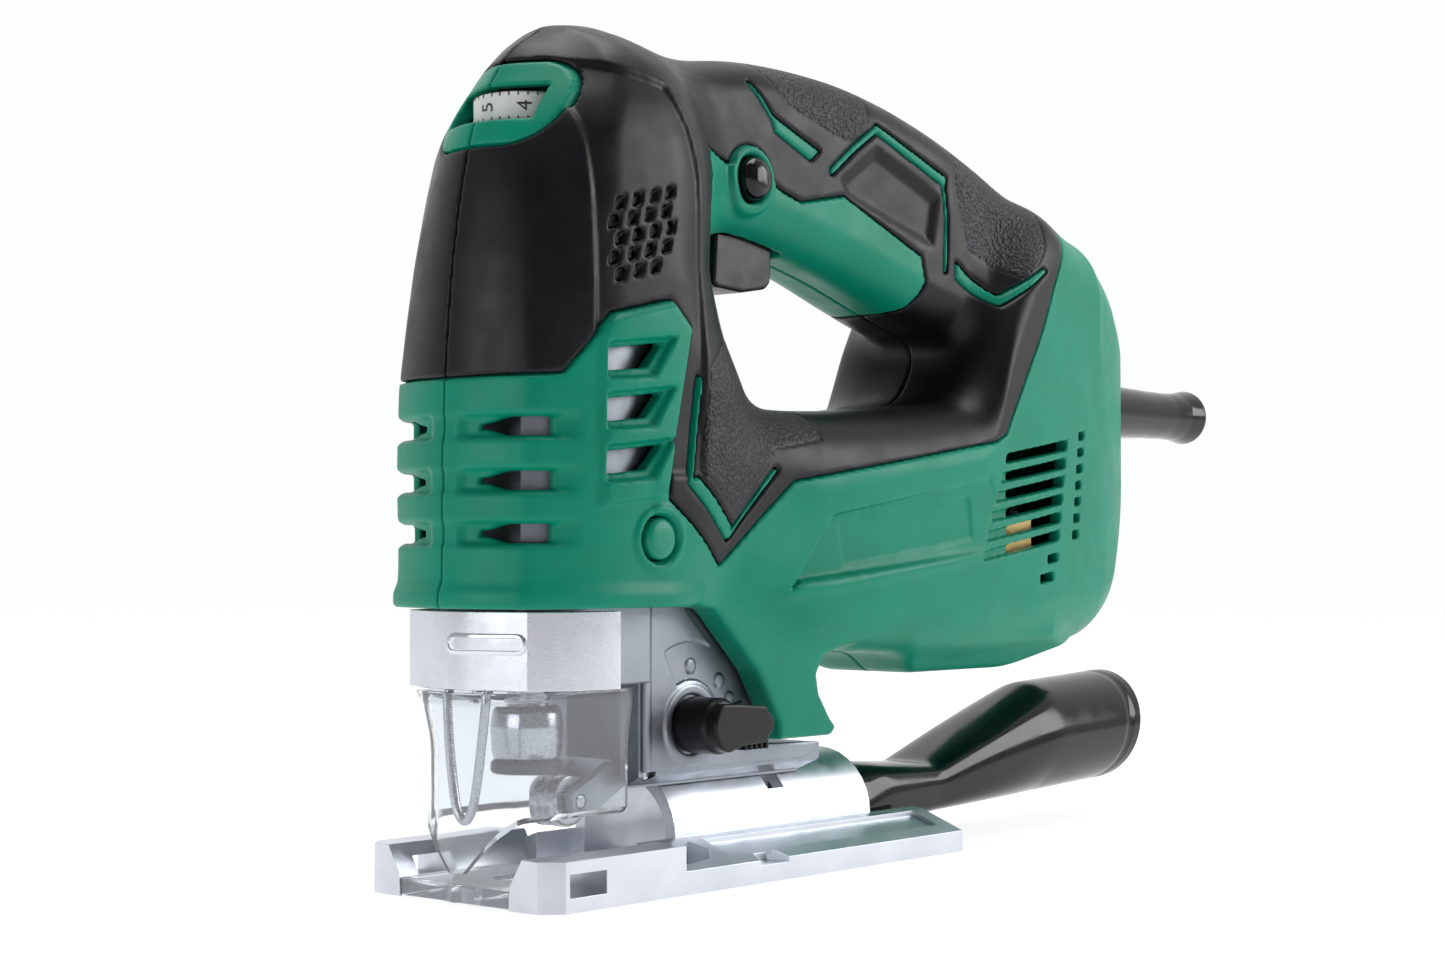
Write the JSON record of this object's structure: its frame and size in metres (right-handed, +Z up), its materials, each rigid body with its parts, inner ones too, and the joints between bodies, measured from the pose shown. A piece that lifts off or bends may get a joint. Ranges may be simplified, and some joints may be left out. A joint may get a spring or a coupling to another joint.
{
  "type": "jigsaw power tool",
  "caption": "Corded D-handle jigsaw with tilting base plate, reciprocating plunger, swing blade lever, orbital knob, chip cover and dust nozzle, built from separate pieces.",
  "frame": {"origin": "on the sole, on the centreline, under the front bridge of the base plate", "axes": "+X from the blade end towards the cord, +Z up from the sole, -Y to the left of the tool"},
  "size_m": [0.3382, 0.0666, 0.211],
  "materials": {
    "green_shell": "fine matt grain",
    "rubber_grip": "soft matt",
    "black_plastic": "satin",
    "gloss_black": "gloss",
    "white_dial": "satin",
    "clear_plastic": "clear polycarbonate",
    "base_alloy": "satin cast",
    "case_alloy": "blasted cast",
    "satin_lever": "satin",
    "steel": "machined",
    "dark_steel": "dark",
    "bronze": "sintered",
    "brass": "plain",
    "copper": "turned",
    "carbon": "matt",
    "gray_plastic": "matt"
  },
  "bodies": {
    "housing": {"housing_left": "green_shell", "housing_right": "green_shell", "grip_left": "rubber_grip", "grip_right": "rubber_grip", "shell_screw_1": "steel", "shell_screw_2": "steel", "shell_screw_3": "steel", "shell_screw_4": "steel", "shell_screw_5": "steel", "shell_screw_6": "steel", "gear_case": "case_alloy", "clamp_shroud": "case_alloy", "plunger_bushing_lower": "bronze", "plunger_bushing_upper": "bronze", "wire_guard": "steel", "side_plug": "green_shell", "speed_board": "gray_plastic", "switch_body": "black_plastic", "stator": "dark_steel", "bearing_front": "steel", "bearing_rear": "steel", "fan_baffle": "gray_plastic", "brush_left": "carbon", "brush_right": "carbon", "brush_holder_left": "brass", "brush_holder_right": "brass", "cord_guard": "black_plastic", "cord_clamp": "black_plastic", "base_clamp_bolt": "steel", "base_clamp_shoe": "steel", "gear_shaft": "steel", "roller_arm_pin": "steel", "lever_pin": "steel", "trigger_spring": "steel"},
    "base": {"base_plate": "base_alloy", "splinter_insert": "clear_plastic"},
    "nozzle": {"dust_nozzle": "gloss_black"},
    "cover": {"chip_cover": "clear_plastic"},
    "lever": {"blade_lever": "satin_lever"},
    "plunger": {"plunger_rod": "steel", "yoke": "steel", "blade_holder": "steel"},
    "clamp": {"clamp_sleeve": "steel", "clamp_ring": "dark_steel"},
    "weight": {"counterweight": "dark_steel"},
    "swing_arm": {"roller_arm": "case_alloy", "roller_pin": "steel"},
    "roller": {"guide_roller": "steel"},
    "knob": {"orbit_knob": "black_plastic", "orbit_cam": "steel"},
    "dial": {"speed_dial": "white_dial"},
    "trigger": {"trigger": "black_plastic"},
    "lock": {"lock_button": "gloss_black"},
    "armature": {"armature_shaft": "steel", "armature_core": "dark_steel", "commutator": "copper", "fan": "gray_plastic"},
    "gear": {"drive_gear": "steel", "crank_pin": "steel"}
  },
  "joints": [
    {"name": "base_tilt", "type": "hinge", "parent": "housing", "child": "base", "pos_m": [0, 0, 0.011], "axis": [1, 0, 0], "range_deg": [-45, 45]},
    {"name": "nozzle_pull", "type": "slide", "parent": "base", "child": "nozzle", "axis": [1, 0, 0], "range_m": [0, 0.05]},
    {"name": "cover_pull", "type": "slide", "parent": "housing", "child": "cover", "axis": [-1, 0, 0], "range_m": [0, 0.03]},
    {"name": "lever_swing", "type": "hinge", "parent": "housing", "child": "lever", "pos_m": [-0.036, 0.0245, 0.058], "axis": [0, 0, -1], "range_deg": [0, 100]},
    {"name": "plunger_stroke", "type": "slide", "parent": "housing", "child": "plunger", "axis": [0, 0, 1], "range_m": [0, 0.026]},
    {"name": "clamp_turn", "type": "hinge", "parent": "plunger", "child": "clamp", "pos_m": [-0.042, 0, 0.038], "axis": [0, 0, 1], "range_deg": [0, 45]},
    {"name": "weight_stroke", "type": "slide", "parent": "housing", "child": "weight", "axis": [0, 0, 1], "range_m": [-0.026, 0]},
    {"name": "orbit_swing", "type": "hinge", "parent": "housing", "child": "swing_arm", "pos_m": [-0.016, 0, 0.028], "axis": [0, 1, 0], "range_deg": [0, 5]},
    {"name": "roller_spin", "type": "hinge", "parent": "swing_arm", "child": "roller", "pos_m": [-0.0322, 0, 0.0215], "axis": [0, 1, 0], "continuous": true},
    {"name": "orbit_turn", "type": "hinge", "parent": "housing", "child": "knob", "pos_m": [-0.0015, -0.023, 0.0388], "axis": [0, -1, 0], "range_deg": [0, 90]},
    {"name": "dial_turn", "type": "hinge", "parent": "housing", "child": "dial", "pos_m": [-0.043, 0, 0.1875], "axis": [0, 0, 1], "range_deg": [-28, 200]},
    {"name": "trigger_pull", "type": "slide", "parent": "housing", "child": "trigger", "axis": [0, 0, 1], "range_m": [0, 0.0065], "stiffness_N_per_m": 900, "springref_m": -0.004, "deforming": ["trigger_spring"]},
    {"name": "lock_press", "type": "slide", "parent": "housing", "child": "lock", "axis": [0, 1, 0], "range_m": [0, 0.0025], "stiffness_N_per_m": 600, "springref_m": -0.003},
    {"name": "armature_spin", "type": "hinge", "parent": "housing", "child": "armature", "pos_m": [0, 0, 0.0865], "axis": [1, 0, 0], "continuous": true},
    {"name": "gear_spin", "type": "hinge", "parent": "housing", "child": "gear", "pos_m": [0, 0, 0.1117], "axis": [1, 0, 0], "continuous": true}
  ],
  "couplings": [
    {"joint": "clamp_turn", "follows": "lever_swing", "ratio": 0.45},
    {"joint": "weight_stroke", "follows": "plunger_stroke", "ratio": -1},
    {"joint": "orbit_swing", "follows": "plunger_stroke", "rad_per_m": 3.2},
    {"joint": "gear_spin", "follows": "armature_spin", "ratio": -0.19149}
  ]
}
